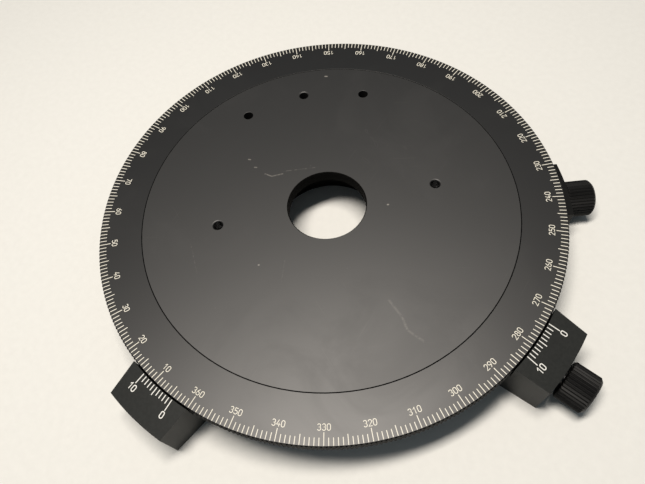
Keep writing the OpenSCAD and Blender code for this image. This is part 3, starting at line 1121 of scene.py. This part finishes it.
@dataclass
class VernierBlock:
    """A fixed block with ten vernier divisions beside the table's rim.

    Attributes:
        node: the CAD node.
        name: the visual piece's name.
        angle: the block's angle about +Z, in degrees.
        divisions: how many divisions the scale has.
        step: the angle from mark to mark, in degrees.
        tick_start: radius at which every tick begins.
        tick_ends: radii at which plain, middle and end ticks stop.
        figure_radius: radius of the figures' middles.
        figure_height: height of the figures between stroke middles.
        fall: how far the face drops for each unit outwards.
        head_radius: radius at which the face is at its full height.
        edge: width of the rounded edges.
        tick_width, figure_width: widths of the painted lines.
    """

    node: str
    name: str
    angle: float
    divisions: int = 10
    step: float = 0.9
    tick_start: float = 100.45 * MM
    tick_ends: Triple = (102.95 * MM, 103.8 * MM, 104.9 * MM)
    figure_radius: float = 106.6 * MM
    figure_height: float = 2.45 * MM
    fall: float = 0.2
    head_radius: float = 100.3 * MM
    edge: float = 0.12 * MM
    tick_width: float = 0.37 * MM
    figure_width: float = 0.38 * MM

    def build(self, shop: Workshop) -> None:
        """Builds the block and its vernier scale.

        Args:
            shop: the maker of materials.
        """
        block = softened(self.node, self.name, self.edge, 3)
        shop.dress(block, BLOCK_BLACK, Body.BASE)
        face = Surface(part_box(self.node)[1].z, self.head_radius, self.fall)
        engraver = Engraver(face, Pen(self.tick_width), Pen(self.figure_width), self.figure_height)
        for k in range(self.divisions + 1):
            angle = self.angle + (self.divisions / 2 - k) * self.step
            kind = 2 if k in (0, self.divisions) else 1 if k * 2 == self.divisions else 0
            engraver.tick(angle, self.tick_start, self.tick_ends[kind])
            if kind == 2:
                engraver.number(str(k), angle, self.figure_radius)
        shop.dress(engraver.finish(self.name + "_scale"), VERNIER_PAINT, Body.BASE)


@dataclass
class Knob:
    """A straight-knurled knob with softened crests.

    Attributes:
        node: the CAD node.
        name: the visual piece's name.
        body: the body that it rides on.
        edge: width of the rounded edges.
    """

    node: str
    name: str
    body: Body
    edge: float = 0.09 * MM

    def build(self, shop: Workshop) -> None:
        """Builds and dresses the knob."""
        shop.dress(softened(self.node, self.name, self.edge, 2), KNOB_BLACK, self.body)


@dataclass
class FixedBase:
    """The base's round wall and the clamp block.

    Attributes:
        wall_edge, block_edge: widths of the rounded edges.
    """

    wall_edge: float = 0.15 * MM
    block_edge: float = 0.2 * MM

    def build(self, shop: Workshop) -> None:
        """Builds and dresses the wall and the low block, whose darker finish paints the shade under the table's
        rim.
        """
        shop.dress(softened("base_wall", "base_wall_turned", self.wall_edge), BASE_BLACK, Body.BASE)
        shop.dress(softened("clamp_block", "clamp_block_body", self.block_edge, 3), CLAMP_PAINTED_SHADE, Body.BASE)


class Internals:
    """Bearing, drive, clamp and fasteners, which keep their CAD shapes."""

    def build(self, shop: Workshop) -> None:
        """Refinishes every carried-over node."""
        for finish, nodes in CARRIED_OVER:
            for node in nodes:
                shop.refinish(node, finish)


# ---- studio


@dataclass
class SoftLight:
    """A rectangular soft light that faces the table.

    Attributes:
        name: the light's name.
        azimuth: its direction about +Z, in degrees.
        elevation: its height above the horizon, in degrees.
        distance: its distance from the table.
        size: its length and width.
        turn: the direction of its length about its own axis, in degrees.
        power: its power in watts.
        colour: its colour.
    """

    name: str
    azimuth: float
    elevation: float
    distance: float
    size: tuple[float, float]
    turn: float
    power: float
    colour: Colour = (1.0, 1.0, 1.0)

    def build(self) -> None:
        """Places the light."""
        light = bpy.data.lights.new(self.name, "AREA")
        light.shape = "RECTANGLE"
        light.size, light.size_y = self.size
        light.energy = self.power
        light.color = self.colour
        lamp = bpy.data.objects.new(self.name, light)
        az, el, turn = (math.radians(a) for a in (self.azimuth, self.elevation, self.turn))
        heading = Vector((math.cos(az) * math.cos(el), math.sin(az) * math.cos(el), math.sin(el)))
        place = heading * self.distance
        back = place.normalized()
        long_side = Vector((math.cos(turn), math.sin(turn), 0.0))
        long_side = (long_side - back * long_side.dot(back)).normalized()
        short_side = back.cross(long_side)
        facing = Matrix((long_side, short_side, back)).transposed()
        lamp.matrix_world = Matrix.Translation(place) @ facing.to_4x4()
        bpy.context.scene.collection.objects.link(lamp)


@dataclass
class Studio:
    """Camera, floor, light and surround.

    Attributes:
        camera_place: the camera's place.
        look_azimuth, look_down, roll: its direction and roll, in degrees.
        lens, sensor: its focal length and sensor width, in millimetres.
        near_clip: the nearest distance that it sees.
        lights: the lights.
        surround, surround_colour: the strength and colour of the even light from all sides.
        floor_size: the floor's width.
        floor_roughness, floor_tints: the floor's roughness and its two mixed colours.
    """

    camera_place: Triple = (95.09 * MM, -92.44 * MM, 223.84 * MM)
    look_azimuth: float = 137.79
    look_down: float = 60.22
    roll: float = -9.72
    lens: float = 30.88
    sensor: float = 36.0
    near_clip: float = 0.01
    lights: tuple[SoftLight, ...] = (
        SoftLight("key", 215.0, 85.0, 0.8, (0.44, 0.13), 64.0, 6.9, (1.0, 0.93, 0.85)),
    )
    surround: float = 0.12
    surround_colour: Colour = (0.82, 0.93, 1.0)
    floor_size: float = 4.0
    floor_roughness: float = 0.9
    floor_tints: tuple[Colour, Colour] = ((0.80, 0.80, 0.77), (0.88, 0.88, 0.845))

    def build(self) -> None:
        """Builds the whole studio."""
        scene = bpy.context.scene
        scene.view_settings.view_transform = "Standard"
        for light in self.lights:
            light.build()
        self.build_world()
        self.build_floor()
        self.build_camera()

    def build_world(self) -> None:
        """Even, weak surround."""
        world = bpy.data.worlds.new("surround")
        world.use_nodes = True
        back = world.node_tree.nodes["Background"]
        back.inputs["Color"].default_value = (*self.surround_colour, 1.0)
        back.inputs["Strength"].default_value = self.surround
        bpy.context.scene.world = world

    def build_floor(self) -> None:
        """A plain pale floor with a faint nap."""
        bm = bmesh.new()
        bmesh.ops.create_grid(bm, x_segments=2, y_segments=2, size=self.floor_size / 2)
        floor = new_object("floor", bm)
        floor.location.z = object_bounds()[0][2]
        material = bpy.data.materials.new("pale_floor")
        material.use_nodes = True
        tree = material.node_tree
        shader = tree.nodes["Principled BSDF"]
        shader.inputs["Roughness"].default_value = self.floor_roughness
        place = add_node(tree, "TexCoord").outputs["Object"]
        noise = add_node(tree, "TexNoise", Scale=300.0, Detail=4.0, Roughness=0.6)
        tree.links.new(place, noise.inputs["Vector"])
        tint = mix_colours(tree, noise.outputs["Fac"], *self.floor_tints)
        tree.links.new(tint, shader.inputs["Base Color"])
        floor.data.materials.append(material)
        floor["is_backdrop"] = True

    def build_camera(self) -> None:
        """The camera, at its place and with its roll."""
        camera = bpy.data.cameras.new("camera")
        camera.lens = self.lens
        camera.sensor_width = self.sensor
        camera.clip_start = self.near_clip
        rig = bpy.data.objects.new("camera", camera)
        az, down, roll = (math.radians(a) for a in (self.look_azimuth, self.look_down, self.roll))
        ahead = Vector((math.cos(az) * math.cos(down), math.sin(az) * math.cos(down), -math.sin(down)))
        right = Vector((math.sin(az), -math.cos(az), 0.0))
        up = right.cross(ahead)
        tilted_right = right * math.cos(roll) + up * math.sin(roll)
        tilted_up = up * math.cos(roll) - right * math.sin(roll)
        turn = Matrix((tilted_right, tilted_up, -ahead)).transposed()
        rig.matrix_world = Matrix.Translation(self.camera_place) @ turn.to_4x4()
        bpy.context.scene.collection.objects.link(rig)
        bpy.context.scene.camera = rig


def main() -> None:
    """Builds the studio and every sub-assembly in order."""
    logging.basicConfig(level=logging.INFO, format="%(name)s: %(message)s")
    Studio().build()
    shop = Workshop()
    GraduatedTable().build(shop)
    VernierBlock("plain_vernier_block", "plain_vernier", 270.0).build(shop)
    VernierBlock("drive_vernier_block", "drive_vernier", 0.0).build(shop)
    FixedBase().build(shop)
    Knob("fine_knob", "fine_turn_knob", Body.FINE).build(shop)
    Knob("clamp_knob", "clamp_turn_knob", Body.CLAMP).build(shop)
    Internals().build(shop)


if __name__ == "__main__":
    main()
